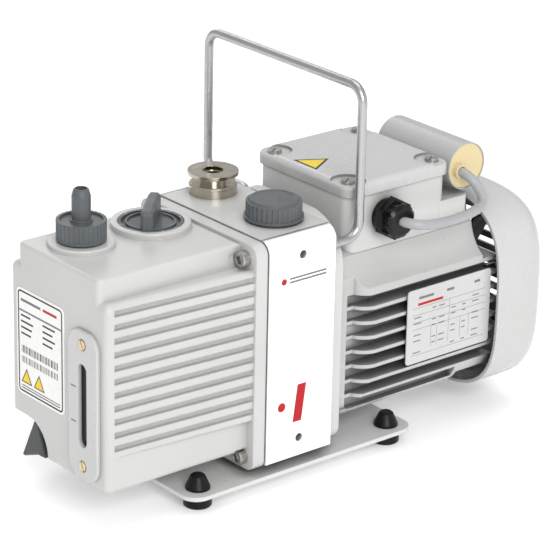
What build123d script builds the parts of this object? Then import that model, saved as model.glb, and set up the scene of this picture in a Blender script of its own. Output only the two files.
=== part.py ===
from build123d import *
import os
import math

# Two-stage oil-sealed rotary vane vacuum pump, direct coupled to a capacitor-run motor.
# Millimetres, +Z up, floor at z = 0. The shaft runs along X: oil box at -X, fan at +X.
# Working frame: x = 0 on the inlet axis, y = 0 on the pump centre plane.

os.makedirs("parts", exist_ok=True)

# ---------------------------------------------------------------- driving dimensions
FRAME_SHIFT = (-25.8, -15.87, 0.0)    # working frame to the bottom centre of the object

TOP = 152.5                           # top face of the pump body
AXIS_Z = 76.0                         # shaft axis
PLATE_X = (-81.0, 87.5)
PLATE_HALF = 55.0
PLATE_Z = (8.0, 10.5)
PLATE_CORNER = 10.0
FOOT_X = (-68.0, 74.5)
FOOT_Y = 42.7
FOOT_R, FOOT_NECK_R, FOOT_CONE_R, FOOT_TIP_R, FOOT_TOP = 8.3, 4.0, 7.2, 4.4, 19.0

BODY_X = (-27.5, 21.0)
BODY_HALF = 52.8                      # painted block, under the side panels
BODY_Z0 = 16.0
PANEL_T = 1.2
PANEL_R = 8.0                         # top corner the panels wrap over
BOSS_X, BOSS_Y = (-19.0, 13.0), 36.0  # feet of the block on the base plate
PANEL_HOLE_X, PANEL_HOLE_Z, PANEL_HOLE_R = -3.2, (28.0, 141.0), 2.5

GASKET_T = 0.8
FLANGE_X = (-36.5, -28.3)             # oil box flange
FLANGE_HALF, FLANGE_Z = 53.4, (14.5, 151.8)
FLANGE_SCREW_Y, FLANGE_SCREW_Z = 44.0, (22.0, 143.2)
OIL_END = -133.5
OIL_TOP, OIL_BOTTOM = 150.5, 25.5
OIL_TOP_HALF, OIL_END_HALF, OIL_RIB_HALF = 38.5, 45.3, 52.0
SHOULDER_Z, SKIRT_Z = 137.5, 50.0
RIB_COUNT, RIB_PITCH, RIB_FIRST_Z = 11, 8.0, 132.5
GROOVE_H, GROOVE_D = 3.6, 2.6
WALL = 4.0
NOTCH_X = -115.5

OUTLET_X, OUTLET_Y, TAIL_R = -108.4, 12.4, 5.4
BALLAST_X, BALLAST_Y, BALLAST_R = -60.3, 12.4, 18.6
CAP_X, CAP_Y = 0.5, -23.0
INLET_X, INLET_Y = 0.0, 32.3
DRAIN_Y, DRAIN_Z = 30.5, 29.0
POCKET_Y, POCKET_Z, POCKET_R = 31.0, 27.0, 20.0    # arch over the drain plug
SIGHT_Y, SIGHT_Z = -26.0, 73.5

STATOR_R, BORE_R, ROTOR_R, BORE_DROP = 38.0, 20.0, 16.5, 3.2
JOURNAL_R, JOURNAL_GAP = 6.0, 0.05
COUPLING_R = 20.0

MOTOR_X = (31.5, 151.0)
MOTOR_A, MOTOR_B, MOTOR_N = 54.0, 55.0, 4.0
MOTOR_BORE, DRUM_R = 40.0, 44.0
SKIRT_END = 125.0
FIN_COUNT, FIN_PITCH, FIN_TOP_Z, FIN_T = 8, 9.2, 105.0, 2.2
FIN_LOW_Z = FIN_TOP_Z - FIN_COUNT * FIN_PITCH + FIN_T
NOSE_X, NOSE_R, NOSE_HALF = 66.0, 28.0, 54.5       # rounded front ends of the fins
NECK_HALF, SHOULDER_X = 46.0, 139.0
SCOOP = ((41.3, 125.6), (46.5, 113.0), (56.0, 105.0))   # hollow slope over the top fin, in (y, z)
BAND_HALF, BAND_TOP_R = 50.0, 30.0
COVER_X = (144.5, 188.0)
COVER_A, COVER_N, COVER_T, COVER_ROUND = 62.0, 3.4, 1.8, 16.0
TAB_X = 147.5                         # screws that hold the cover

LID_X, LID_Y, LID_Z = (39.5, 119.5), 43.0, (160.5, 168.5)
LID_SCREW_X, LID_SCREW_Y = (47.0, 112.0), 33.0
LID_SEAT, LID_RECESS_R = 167.0, 10.5   # sunk seats of the lid's screws
BOX_X, BOX_Y, BOX_Z0 = (41.0, 118.0), 41.0, 118.0
PEDESTAL_END, PEDESTAL_TOP = 136.5, 143.5           # lower step of the box, under the capacitor
GLAND_X, GLAND_Z = 69.0, 145.0

CAP_AXIS_X, CAP_AXIS_Z, CAN_R = 136.0, 160.0, 14.5
CAN_Y, CAN_LIP = (-38.0, 27.0), 5.0
LEAD_R, LEAD_GAP = 3.0, 0.05
LEAD_POINTS = [(69.0, -48.0, 145.0), (69.0, -66.5, 145.0), (97.0, -66.0, 141.5), (124.0, -60.0, 140.5),
               (139.0, -52.0, 141.5), (129.5, -50.0, 158.5), (129.5, -34.5, 158.5)]

ROD_R = 2.75
ROD_NEAR_Y, ROD_FAR_Y, ROD_HOLE_Y = -48.5, 91.0, 48.5
ROD_X, ROD_Z, ROD_TOP = 42.6, 139.5, 228.9


# ---------------------------------------------------------------- helpers
def box(x, y, z):
    """Solid between two limits on each axis."""
    return Pos((x[0] + x[1]) / 2, (y[0] + y[1]) / 2, (z[0] + z[1]) / 2) * Box(
        x[1] - x[0], y[1] - y[0], z[1] - z[0])


def rod(axis, at, span, r):
    """Cylinder along X, Y or Z; `at` is the position on the other two axes."""
    mid, length = (span[0] + span[1]) / 2, span[1] - span[0]
    if axis == "X":
        return Pos(mid, at[0], at[1]) * Rot(0, 90, 0) * Cylinder(r, length)
    if axis == "Y":
        return Pos(at[0], mid, at[1]) * Rot(90, 0, 0) * Cylinder(r, length)
    return Pos(at[0], at[1], mid) * Cylinder(r, length)


def tube(axis, at, span, r_out, r_in):
    """Ring along an axis."""
    return rod(axis, at, span, r_out) - rod(axis, at, (span[0] - 1, span[1] + 1), r_in)


def turned(at, profile):
    """Revolve (radius, height) pairs about a vertical axis."""
    face = make_face(Plane.XZ * Polyline(*profile, close=True))
    return Pos(at[0], at[1], 0) * revolve(face, Axis.Z)


def yz_prism(sketch, x):
    """Extrude a sketch drawn in (y, z) along X."""
    return extrude(Plane(origin=(x[0], 0, 0), x_dir=(0, 1, 0), z_dir=(1, 0, 0)) * sketch,
                   x[1] - x[0])


def superellipse(a, b, n, z):
    """Rounded square with bulged sides, centred on the shaft."""
    pts = []
    for i in range(32):
        c, s = math.cos(2 * math.pi * i / 32), math.sin(2 * math.pi * i / 32)
        pts.append((a * math.copysign(abs(c) ** (2 / n), c),
                    z + b * math.copysign(abs(s) ** (2 / n), s)))
    return make_face(Spline(*pts, periodic=True))


def rounded_top(half, z0, z1, r_top, r_low=1.5):
    """Block outline in (y, z) with rounded corners."""
    outline = Pos(0, (z0 + z1) / 2) * Rectangle(2 * half, z1 - z0)
    top = outline.vertices().group_by(Axis.Y)[-1]
    outline = fillet(top, r_top)
    low = outline.vertices().group_by(Axis.Y)[0]
    return fillet(low, r_low)


def fluted(at, z, r, count, r_flute):
    """Knurled grip: a cylinder with scooped flutes."""
    solid = rod("Z", at, z, r)
    for i in range(count):
        a = 2 * math.pi * i / count
        solid -= rod("Z", (at[0] + (r + 0.55 * r_flute) * math.cos(a),
                           at[1] + (r + 0.55 * r_flute) * math.sin(a)),
                     (z[0] + 1.2, z[1] + 1), r_flute)
    return solid


def sector(x, r_in, r_out, start, sweep):
    """Jaw of a coupling: part of a ring about the shaft."""
    far = 2.5 * r_out
    wedge = make_face(Polyline((0, 0), *[
        (far * math.cos(math.radians(start + sweep * k / 4)),
         far * math.sin(math.radians(start + sweep * k / 4))) for k in range(5)], close=True))
    ring = tube("X", (0, AXIS_Z), x, r_out, r_in)
    return ring & yz_prism(Pos(0, AXIS_Z) * wedge, (x[0] - 1, x[1] + 1))


def save(name, shape):
    """Write one node, moved into the shared frame."""
    solids = shape.solids() if not isinstance(shape, list) else [
        s for item in shape for s in item.solids()]
    moved = [Pos(*FRAME_SHIFT) * s for s in solids]
    export_step(moved[0] if len(moved) == 1 else Compound(children=moved), f"parts/{name}.step")


# ---------------------------------------------------------------- base
plate = extrude(Pos(sum(PLATE_X) / 2, 0, PLATE_Z[0]) * RectangleRounded(
    PLATE_X[1] - PLATE_X[0], 2 * PLATE_HALF, PLATE_CORNER), PLATE_Z[1] - PLATE_Z[0])
feet_at = [(x, s * FOOT_Y) for x in FOOT_X for s in (-1, 1)]
boss_at = [(x, s * BOSS_Y) for x in BOSS_X for s in (-1, 1)]
for at in feet_at:
    plate -= rod("Z", at, (0, 20), FOOT_NECK_R)
for at in boss_at:
    plate -= rod("Z", at, (0, 20), 2.6)
save("base_plate", plate)
save("rubber_feet", [turned(at, [
    (0, 0), (FOOT_R - 0.8, 0), (FOOT_R, 0.8), (FOOT_R, PLATE_Z[0]), (FOOT_NECK_R, PLATE_Z[0]),
    (FOOT_NECK_R, PLATE_Z[1]), (FOOT_CONE_R, PLATE_Z[1]), (FOOT_CONE_R, PLATE_Z[1] + 1.4),
    (FOOT_TIP_R, FOOT_TOP - 0.8), (FOOT_TIP_R - 1, FOOT_TOP), (0, FOOT_TOP)])
    for at in feet_at])
save("base_screws", [rod("Z", at, (4.5, 8.0), 4.2) + rod("Z", at, (8.0, 22.0), 2.5)
                     - box((at[0] - 5, at[0] + 5), (at[1] - 0.6, at[1] + 0.6), (4, 5.6))
                     for at in boss_at])

# ---------------------------------------------------------------- pump body
body = yz_prism(rounded_top(BODY_HALF, BODY_Z0, TOP, PANEL_R - PANEL_T), BODY_X)
for at in boss_at:
    body += rod("Z", at, (PLATE_Z[1], BODY_Z0), 7.0)
    body -= rod("Z", at, (0, 22.0), 2.5)
body -= rod("X", (0, AXIS_Z), (BODY_X[0] - 1, 0), JOURNAL_R + JOURNAL_GAP)
body -= rod("X", (0, AXIS_Z), (-20.0, 0), 11.0)
body -= rod("X", (0, AXIS_Z), (-12.0, BODY_X[1] + 1), 26.0)
body -= rod("Z", (INLET_X, INLET_Y), (88.0, TOP + 1), 5.0)
body -= rod("X", (INLET_Y, 88.0), (BODY_X[0] - 1, INLET_X), 4.0)
body -= rod("Z", (CAP_X, CAP_Y), (TOP - 15.0, TOP + 1), 12.0)
body -= rod("X", (CAP_Y, TOP - 12.5), (BODY_X[0] - 1, CAP_X), 5.0)
for z in PANEL_HOLE_Z:
    body -= rod("Y", (PANEL_HOLE_X, z), (-60, -BODY_HALF + 9), PANEL_HOLE_R)
    body -= rod("Y", (PANEL_HOLE_X, z), (BODY_HALF - 9, 60), PANEL_HOLE_R)
for y in (-ROD_HOLE_Y, ROD_HOLE_Y):
    body -= rod("X", (y, ROD_Z), (8.0, BODY_X[1] + 1), ROD_R)
save("pump_body", body)

panel_outer = rounded_top(BODY_HALF + PANEL_T, BODY_Z0 + 0.6, TOP, PANEL_R, 0.4)
panel_inner = rounded_top(BODY_HALF, BODY_Z0 - 9, TOP, PANEL_R - PANEL_T)
shell = panel_outer - panel_inner
panels = yz_prism(shell, BODY_X)
for z in PANEL_HOLE_Z:
    panels -= rod("Y", (PANEL_HOLE_X, z), (-60, 60), PANEL_HOLE_R)
save("side_panel_near", panels & box((-60, 60), (-80, -BODY_HALF + PANEL_R - PANEL_T), (0, 200)))
save("side_panel_far", panels & box((-60, 60), (BODY_HALF - PANEL_R + PANEL_T, 80), (0, 200)))

# ---------------------------------------------------------------- oil box
flange_outline = rounded_top(FLANGE_HALF, FLANGE_Z[0], FLANGE_Z[1], 7.0, 6.0)
oil = yz_prism(flange_outline, FLANGE_X)


def plan(half_end, half_flange, z):
    """Tapered plan outline between the flange and the closed end, extruded between two heights."""
    outline = make_face(Polyline((OIL_END, -half_end), (FLANGE_X[0], -half_flange),
                                 (FLANGE_X[0], half_flange), (OIL_END, half_end), close=True))
    outline = fillet(outline.vertices().group_by(Axis.X)[0], 3.5)
    return extrude(Pos(0, 0, z[0]) * outline, z[1] - z[0])


crown = plan(OIL_TOP_HALF - 0.3, OIL_TOP_HALF, (SHOULDER_Z - 6, OIL_TOP))
crown = fillet(crown.faces().sort_by(Axis.Z)[-1].edges(), 2.0)
ribbed = plan(OIL_END_HALF, OIL_RIB_HALF, (SKIRT_Z - 3, SHOULDER_Z))
ribbed = fillet(ribbed.faces().sort_by(Axis.Z)[-1].edges().filter_by(
    lambda e: abs(e.center().Y) > 20), 4.0)
skirt = plan(OIL_END_HALF, OIL_END_HALF + 1.2, (OIL_BOTTOM, SKIRT_Z))
skirt = fillet(skirt.faces().sort_by(Axis.Z)[0].edges().filter_by(
    lambda e: e.center().X < FLANGE_X[0] - 1), 3.0)
oil += crown + ribbed + skirt

taper = math.degrees(math.atan((OIL_RIB_HALF - OIL_END_HALF) / (FLANGE_X[0] - OIL_END)))
for side in (-1, 1):
    for k in range(RIB_COUNT):
        z = RIB_FIRST_Z - k * RIB_PITCH
        cutter = Box(92.0, 2 * GROOVE_D, GROOVE_H)
        cutter = fillet(cutter.edges().filter_by(Axis.Z), GROOVE_D * 0.95)
        half = OIL_END_HALF + (OIL_RIB_HALF - OIL_END_HALF) * (-82.5 - OIL_END) / (
            FLANGE_X[0] - OIL_END)
        oil -= Pos(-82.5, side * half, z) * Rot(0, 0, side * taper) * cutter
for at, r, top in (((OUTLET_X, OUTLET_Y), 19.0, TOP + 0.8), ((BALLAST_X, BALLAST_Y), 23.0, TOP + 1.6)):
    boss = rod("Z", at, (OIL_TOP - 8, top), r)
    oil += fillet(boss.faces().sort_by(Axis.Z)[-1].edges(), 0.7)

pocket_x = (OIL_END - 5, NOTCH_X)
notch = (rod("X", (POCKET_Y, POCKET_Z), pocket_x, POCKET_R)
         + box(pocket_x, (POCKET_Y - POCKET_R, 80), (0, POCKET_Z))
         + box(pocket_x, (POCKET_Y, 80), (0, POCKET_Z + POCKET_R)))
cavity = (box((OIL_END + WALL, FLANGE_X[1] + 1), (-41, 41), (OIL_BOTTOM + WALL, SHOULDER_Z - WALL))
          + box((OIL_END + WALL, FLANGE_X[1] + 1), (-34.5, 34.5), (SHOULDER_Z - 9, OIL_TOP - WALL)))
guard = box((OIL_END - 5, NOTCH_X + WALL), (5, 60), (0, SKIRT_Z + 2))
oil = oil - (cavity - guard) - notch
oil += rod("X", (DRAIN_Y, DRAIN_Z), (NOTCH_X - 3.0, NOTCH_X + 8), 9.5)
oil -= rod("X", (DRAIN_Y, DRAIN_Z), (NOTCH_X - 5, NOTCH_X + 6), 5.5)
oil -= rod("Z", (OUTLET_X, OUTLET_Y), (OIL_TOP - 10, TOP + 5), 8.5)
oil -= rod("Z", (BALLAST_X, BALLAST_Y), (TOP - 4.5, TOP + 5), BALLAST_R + 0.4)
oil -= rod("Z", (BALLAST_X, BALLAST_Y), (OIL_TOP - 10, TOP), 6.5)
for y in (-FLANGE_SCREW_Y, FLANGE_SCREW_Y):
    for z in FLANGE_SCREW_Z:
        oil -= rod("X", (y, z), (FLANGE_X[0] - 7.5, FLANGE_X[0]), 6.2)
        oil -= rod("X", (y, z), (FLANGE_X[0] - 1, FLANGE_X[1] + 1), 2.6)
sight_hole = SlotOverall(50.0, 9.0, rotation=90)
window_seat = RectangleRounded(14.0, 56.0, 4.0)
oil -= yz_prism(Pos(SIGHT_Y, SIGHT_Z) * sight_hole, (OIL_END - 1, OIL_END + WALL + 1))
oil -= yz_prism(Pos(SIGHT_Y, SIGHT_Z) * window_seat, (OIL_END - 1, OIL_END + 2.0))
for dz in (-36.5, 36.5):
    oil -= rod("X", (SIGHT_Y, SIGHT_Z + dz), (OIL_END - 1, OIL_END + 3.0), 1.6)
save("oil_box", oil)

seal_outline = rounded_top(FLANGE_HALF - 0.4, FLANGE_Z[0] + 2.0, FLANGE_Z[1] - 0.3, 7.0, 6.0)
gasket = yz_prism(seal_outline, (FLANGE_X[1], BODY_X[0]))
gasket -= box((-40, -20), (-42, 42), (OIL_BOTTOM + WALL, SHOULDER_Z + 5))
for y in (-FLANGE_SCREW_Y, FLANGE_SCREW_Y):
    for z in FLANGE_SCREW_Z:
        gasket -= rod("X", (y, z), (-40, -20), 2.6)
save("oil_box_gasket", gasket)


def socket_screw(y, z):
    """Socket head screw through the oil box flange."""
    head = rod("X", (y, z), (FLANGE_X[0] - 5.0, FLANGE_X[0]), 4.6)
    head = chamfer(head.faces().sort_by(Axis.X)[0].edges(), 0.5)
    recess = yz_prism(Pos(y, z) * RegularPolygon(2.6, 6), (FLANGE_X[0] - 6, FLANGE_X[0] - 2.4))
    return head - recess + rod("X", (y, z), (FLANGE_X[0], BODY_X[0]), 2.5)


save("oil_box_screws", [socket_screw(y, z) for y in (-FLANGE_SCREW_Y, FLANGE_SCREW_Y)
                        for z in FLANGE_SCREW_Z])

bezel = yz_prism(Pos(SIGHT_Y, SIGHT_Z) * RectangleRounded(27.0, 89.0, 10.0),
                 (OIL_END - 2.6, OIL_END))
bezel = chamfer(bezel.faces().sort_by(Axis.X)[0].edges(), 0.5)
bezel -= yz_prism(Pos(SIGHT_Y, SIGHT_Z) * SlotOverall(50.0, 8.0, rotation=90), (-140, -130))
for dz in (-36.5, 36.5):
    bezel -= rod("X", (SIGHT_Y, SIGHT_Z + dz), (-140, -130), 1.6)
    bezel -= rod("X", (SIGHT_Y, SIGHT_Z + dz), (-140, OIL_END - 1.4), 3.4)
save("sight_glass_bezel", bezel)
save("sight_glass_window", yz_prism(Pos(SIGHT_Y, SIGHT_Z) * RectangleRounded(13.6, 55.6, 3.8),
                                    (OIL_END, OIL_END + 2.0)))
save("sight_glass_screws", [
    rod("X", (SIGHT_Y, SIGHT_Z + dz), (OIL_END - 2.9, OIL_END - 1.4), 3.0)
    - Pos(OIL_END - 2.9, SIGHT_Y, SIGHT_Z + dz) * Rot(65, 0, 0) * Box(1.4, 8, 0.9)
    + rod("X", (SIGHT_Y, SIGHT_Z + dz), (OIL_END - 1.4, OIL_END + 3.0), 1.6)
    for dz in (-36.5, 36.5)])
save("id_label", yz_prism(Pos(16.7, 91.5) * RectangleRounded(45.5, 64.5, 4.0),
                          (OIL_END - 0.4, OIL_END)))

# ---------------------------------------------------------------- drain plug
DRAIN_FACE = NOTCH_X - 3.0
WING = [(9.5, -11.7), (-3.6, 15.6), (-7.6, 14.6), (-15.0, -4.6), (-6.5, -5.2)]
save("drain_plug_seal", tube("X", (DRAIN_Y, DRAIN_Z), (DRAIN_FACE - 1.5, DRAIN_FACE), 8.0, 5.6))
plug = rod("X", (DRAIN_Y, DRAIN_Z), (DRAIN_FACE - 1.5, DRAIN_FACE + 7.0), 5.2)
plug += rod("X", (DRAIN_Y, DRAIN_Z), (DRAIN_FACE - 4.5, DRAIN_FACE - 1.5), 9.0)
wing = make_face(Polyline(*[(DRAIN_Y + y, DRAIN_Z + z) for y, z in WING], close=True))
grip = yz_prism(fillet(wing.vertices(), 1.2), (OIL_END + 1.5, DRAIN_FACE - 4.5))
plug += chamfer(grip.faces().sort_by(Axis.X)[0].edges(), 0.8)
save("drain_plug", plug)

# ---------------------------------------------------------------- top fittings
OUTLET_SEAT = TOP + 0.8
save("outlet_seal", tube("Z", (OUTLET_X, OUTLET_Y), (OUTLET_SEAT, OUTLET_SEAT + 0.9), 13.4, 8.2))
nozzle = fluted((OUTLET_X, OUTLET_Y), (OUTLET_SEAT + 0.9, OUTLET_SEAT + 12.5), 14.2, 30, 1.0)
nozzle -= tube("Z", (OUTLET_X, OUTLET_Y), (OUTLET_SEAT + 11.3, OUTLET_SEAT + 20), 12.2, 6.5)
nozzle += turned((OUTLET_X, OUTLET_Y), [(0, TOP - 6), (8.2, TOP - 6), (8.2, OUTLET_SEAT + 1),
                                       (TAIL_R, OUTLET_SEAT + 11), (TAIL_R, TOP + 27),
                                       (4.4, TOP + 30.5), (3.6, TOP + 31.2), (0, TOP + 31.2)])
nozzle -= rod("Z", (OUTLET_X, OUTLET_Y), (TOP - 10, TOP + 40), 3.2)
save("outlet_nozzle", nozzle)

knob = rod("Z", (BALLAST_X, BALLAST_Y), (TOP - 3.0, TOP + 1.5), BALLAST_R)
knob -= tube("Z", (BALLAST_X, BALLAST_Y), (TOP - 0.4, TOP + 5), BALLAST_R - 1.6, 14.6)
knob -= rod("Z", (BALLAST_X, BALLAST_Y), (TOP + 0.4, TOP + 5), 13.4)
bar = fillet(Box(2 * BALLAST_R - 1.5, 7.0, 13.4).edges().filter_by(Axis.Y).group_by(Axis.Z)[-1], 3.0)
bar = chamfer(bar.edges().filter_by(Axis.X).group_by(Axis.Z)[-1], 1.5)
knob += Pos(BALLAST_X, BALLAST_Y, TOP + 6.2) * Rot(0, 0, 45) * bar
knob += rod("Z", (BALLAST_X, BALLAST_Y), (TOP - 8.0, TOP - 3.0), 6.2)
save("ballast_knob", knob)
save("ballast_seal", tube("Z", (BALLAST_X, BALLAST_Y), (TOP - 4.5, TOP - 3.3), 11.0, 8.0))

save("filler_cap_seal", tube("Z", (CAP_X, CAP_Y), (TOP, TOP + 1.2), 16.8, 12.4))
cap = fluted((CAP_X, CAP_Y), (TOP + 1.2, TOP + 11.0), 16.2, 32, 1.1)
cap += turned((CAP_X, CAP_Y), [(0, TOP + 1.2), (17.2, TOP + 1.2), (17.2, TOP + 2.6),
                              (15.4, TOP + 2.8), (15.4, TOP + 10.6), (13.7, TOP + 12.6),
                              (12.4, TOP + 12.6), (12.0, TOP + 12.2), (0, TOP + 12.2)])
cap += tube("Z", (CAP_X, CAP_Y), (TOP - 9.0, TOP + 1.4), 11.6, 8.5)
save("filler_cap", cap)

flange = turned((INLET_X, INLET_Y), [
    (5.0, TOP), (14.2, TOP), (14.2, TOP + 5.6), (13.4, TOP + 6.4), (7.6, TOP + 6.4),
    (7.6, TOP + 9.4), (9.2, TOP + 10.0), (15.0, TOP + 11.6), (15.0, TOP + 13.6),
    (6.1, TOP + 13.6), (6.1, TOP + 11.0), (5.0, TOP + 11.0)])
save("inlet_flange", flange)
mesh = rod("Z", (INLET_X, INLET_Y), (TOP + 4.0, TOP + 4.8), 5.0)
for i in range(-2, 3):
    for j in range(-2, 3):
        if math.hypot(i, j) < 2.5:
            mesh -= Pos(INLET_X + 1.75 * i, INLET_Y + 1.75 * j, TOP + 4.4) * Box(1.15, 1.15, 3)
save("inlet_strainer", mesh)

# ---------------------------------------------------------------- handle
route = FilletPolyline((8.0, -ROD_HOLE_Y, ROD_Z), (ROD_X, ROD_NEAR_Y, ROD_Z),
                       (ROD_X, ROD_NEAR_Y, ROD_TOP), (ROD_X, ROD_FAR_Y, ROD_TOP),
                       (ROD_X, ROD_FAR_Y, ROD_Z), (ROD_X, ROD_HOLE_Y, ROD_Z),
                       (8.0, ROD_HOLE_Y, ROD_Z), radius=10.0)
handle = sweep(Plane(origin=route @ 0, z_dir=route % 0) * Circle(ROD_R), path=route)
save("handle", handle)

# ---------------------------------------------------------------- vane module
BORE_AT = (0, AXIS_Z - BORE_DROP)
AX = (0, AXIS_Z)
hv = rod("X", AX, (-60.0, BODY_X[0]), STATOR_R) - rod("X", BORE_AT, (-61, -26), BORE_R)
hv -= rod("X", (INLET_Y, 88.0), (-38.0, -26), 4.0)
hv -= rod("Y", (-34.0, 88.0), (10.0, INLET_Y), 3.5)
hv -= rod("Z", (-44.0, -12.0), (AXIS_Z, 120), 3.0)
save("hv_stator", hv)
save("centre_plate", rod("X", AX, (-66.0, -60.0), STATOR_R)
     - rod("X", AX, (-67, -59), JOURNAL_R + JOURNAL_GAP))
lv = rod("X", AX, (-86.0, -66.0), STATOR_R) - rod("X", BORE_AT, (-87, -65), BORE_R)
lv -= rod("Z", (-76.0, -10.0), (AXIS_Z, 112.0), 3.0)
lv -= box((-84, -68), (-17, -3), (AXIS_Z + 33, 130))
save("lv_stator", lv)
save("pump_end_cover", rod("X", AX, (-93.0, -86.0), STATOR_R - 4)
     - rod("X", AX, (-91.5, -85), JOURNAL_R + JOURNAL_GAP))
valve_z = AXIS_Z + 33
save("discharge_valve", box((-82, -70), (-15, -5), (valve_z, valve_z + 0.8))
     + box((-82, -79), (-15, -5), (valve_z + 0.8, valve_z + 3)))

rotor = (rod("X", AX, (-59.7, -27.9), ROTOR_R) + rod("X", AX, (-85.7, -66.3), ROTOR_R)
         + rod("X", AX, (-91.0, 4.0), JOURNAL_R))
for x in ((-59.7, -27.9), (-85.7, -66.3)):
    for side in (-1, 1):
        edges = sorted((AXIS_Z + side * 6.6, AXIS_Z + side * 18.0))
        rotor -= box(x, (-1.25, 1.25), edges)
save("pump_rotor", rotor)
for name, x in (("hv_vanes", (-59.6, -28.0)), ("lv_vanes", (-85.6, -66.4))):
    save(name, [box(x, (-1.2, 1.2), sorted((AXIS_Z + s * 7.0, AXIS_Z + s * 16.2)))
                for s in (-1, 1)])
save("shaft_seal", tube("X", AX, (-20.0, -12.6), 11.0, JOURNAL_R + JOURNAL_GAP))

# ---------------------------------------------------------------- coupling
hub_pump = tube("X", AX, (-8.0, 4.0), COUPLING_R, JOURNAL_R)
hub_motor = tube("X", AX, (11.4, 25.0), COUPLING_R, 7.5)
spider = tube("X", AX, (4.2, 11.2), 8.0, 4.0)
for k in range(3):
    hub_pump += sector((4.0, 11.0), 8.4, COUPLING_R, 120 * k - 15, 30)
    hub_motor += sector((4.4, 11.4), 8.4, COUPLING_R, 120 * k + 45, 30)
for k in range(6):
    spider += sector((4.4, 11.0), 7.0, COUPLING_R - 0.5, 60 * k + 17, 26)
save("coupling_hub_pump", hub_pump)
save("coupling_spider", spider)
save("coupling_hub_motor", hub_motor)

# ---------------------------------------------------------------- motor
band_outline = rounded_top(BAND_HALF, BODY_Z0, TOP, BAND_TOP_R, 8.0)
gasket = yz_prism(rounded_top(BAND_HALF - 0.5, BODY_Z0 + 0.5, TOP - 0.2, BAND_TOP_R, 8.0),
                  (BODY_X[1], BODY_X[1] + GASKET_T)) - rod("X", AX, (10, 40), 26.0)
save("motor_gasket", gasket)
shield = yz_prism(band_outline, (BODY_X[1] + GASKET_T, MOTOR_X[0]))
shield = fillet(shield.faces().sort_by(Axis.X)[-1].edges(), 1.5)
shield += rod("X", AX, (MOTOR_X[0] - 2, 37.0), MOTOR_BORE)
shield -= rod("X", AX, (10, 33.0), 26.0)
shield -= rod("X", AX, (30, 38.0), 8.5)
shield += tube("X", AX, (36.0, 49.0), 22.0, 17.5)
save("motor_flange", shield)

outline = superellipse(MOTOR_A, MOTOR_B, MOTOR_N, AXIS_Z)
frame_block = yz_prism(outline, MOTOR_X)
frame = frame_block
frame -= box((SKIRT_END, 200), (-80, 80), (0, FIN_LOW_Z))
for side in (-1, 1):
    for k in range(FIN_COUNT):
        top = FIN_TOP_Z - k * FIN_PITCH - FIN_T
        x1 = 200 if k < FIN_COUNT - 1 else SKIRT_END - 3
        frame -= box((MOTOR_X[0] + 6.5, x1), sorted((side * 42, side * 80)),
                     (top - FIN_PITCH + FIN_T, top))
nose = []
for i in range(-8, 9):
    c, d = math.cos(math.pi * i / 16), math.sin(math.pi * i / 16)
    nose.append((NOSE_X - NOSE_R * math.sqrt(abs(c)), math.copysign(NOSE_HALF * math.sqrt(abs(d)), d)))
plan = make_face(Spline(*nose) + Polyline(nose[-1], (NOSE_X + 60, NOSE_HALF), (NOSE_X + 60, -NOSE_HALF),
                                          nose[0]))
corner = box((MOTOR_X[0] - 1, NOSE_X), (-80, 80), (FIN_LOW_Z - 1, 140))
corner -= Pos(0, 0, FIN_LOW_Z - 4) * extrude(plan, 120)
corner -= box((0, 60), (-NECK_HALF, NECK_HALF), (0, 150))
frame -= corner
slope = make_face(ThreePointArc(*SCOOP) + Polyline(SCOOP[2], (70, SCOOP[2][1]), (70, 140), (SCOOP[0][0], 140),
                                                   SCOOP[0]))
scoop = yz_prism(slope, (MOTOR_X[0] - 1, MOTOR_X[1] + 1))
frame -= scoop + mirror(scoop, Plane.XZ)
for side in (-1, 1):
    frame -= box((SHOULDER_X, 200), sorted((side * 24, side * 80)), (FIN_TOP_Z, 200))
frame += rod("X", AX, MOTOR_X, DRUM_R)
frame -= rod("X", AX, (20, 200), MOTOR_BORE)
save("motor_frame", frame)

save("stator_core", tube("X", AX, (66.0, 122.0), MOTOR_BORE, 28.0))
save("stator_windings", [tube("X", AX, x, 38.0, 30.0) for x in ((53.0, 66.0), (122.0, 133.0))])
arbor = rod("X", AX, (66.0, 122.0), 27.3) + rod("X", AX, (11.6, 172.0), 7.5)
save("motor_rotor", arbor)
seats = ((37.5, 48.5), (139.0, 150.0))
save("bearing_outers", [tube("X", AX, x, 17.5, 14.6) for x in seats])
save("bearing_inners", [tube("X", AX, x, 10.4, 7.5) for x in seats])
cages = []
for x in seats:
    mid = sum(x) / 2
    cage = tube("X", AX, (mid - 2.0, mid + 2.0), 13.2, 11.8)
    for k in range(8):
        a = math.radians(45 * k)
        cage += Pos(mid, 12.5 * math.cos(a), AXIS_Z + 12.5 * math.sin(a)) * Sphere(1.75)
    cages.append(cage)
save("bearing_cages", cages)

rear = rod("X", AX, (146.0, 151.0), MOTOR_BORE) + tube("X", AX, (138.0, 150.0), 22.0, 17.5)
rear -= rod("X", AX, (130, 150.0), 17.5)
rear -= rod("X", AX, (130, 160), 8.5)
for k in range(8):
    a = 22.5 + 45 * k
    rib = box((147.0, 153.5), (30.0, 53.0), (-1.5, 1.5))
    rear += Pos(0, 0, AXIS_Z) * Rot(a, 0, 0) * rib
rear -= frame
save("rear_shield", rear)

fan = tube("X", AX, (156.0, 172.0), 13.0, 7.5) + tube("X", AX, (156.0, 158.0), 36.0, 12.0)
for k in range(9):
    blade = box((157.0, 172.0), (12.0, 50.0), (-0.9, 0.9))
    fan += Pos(0, 0, AXIS_Z) * Rot(40 * k, 0, 0) * blade
save("cooling_fan", fan)

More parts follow.
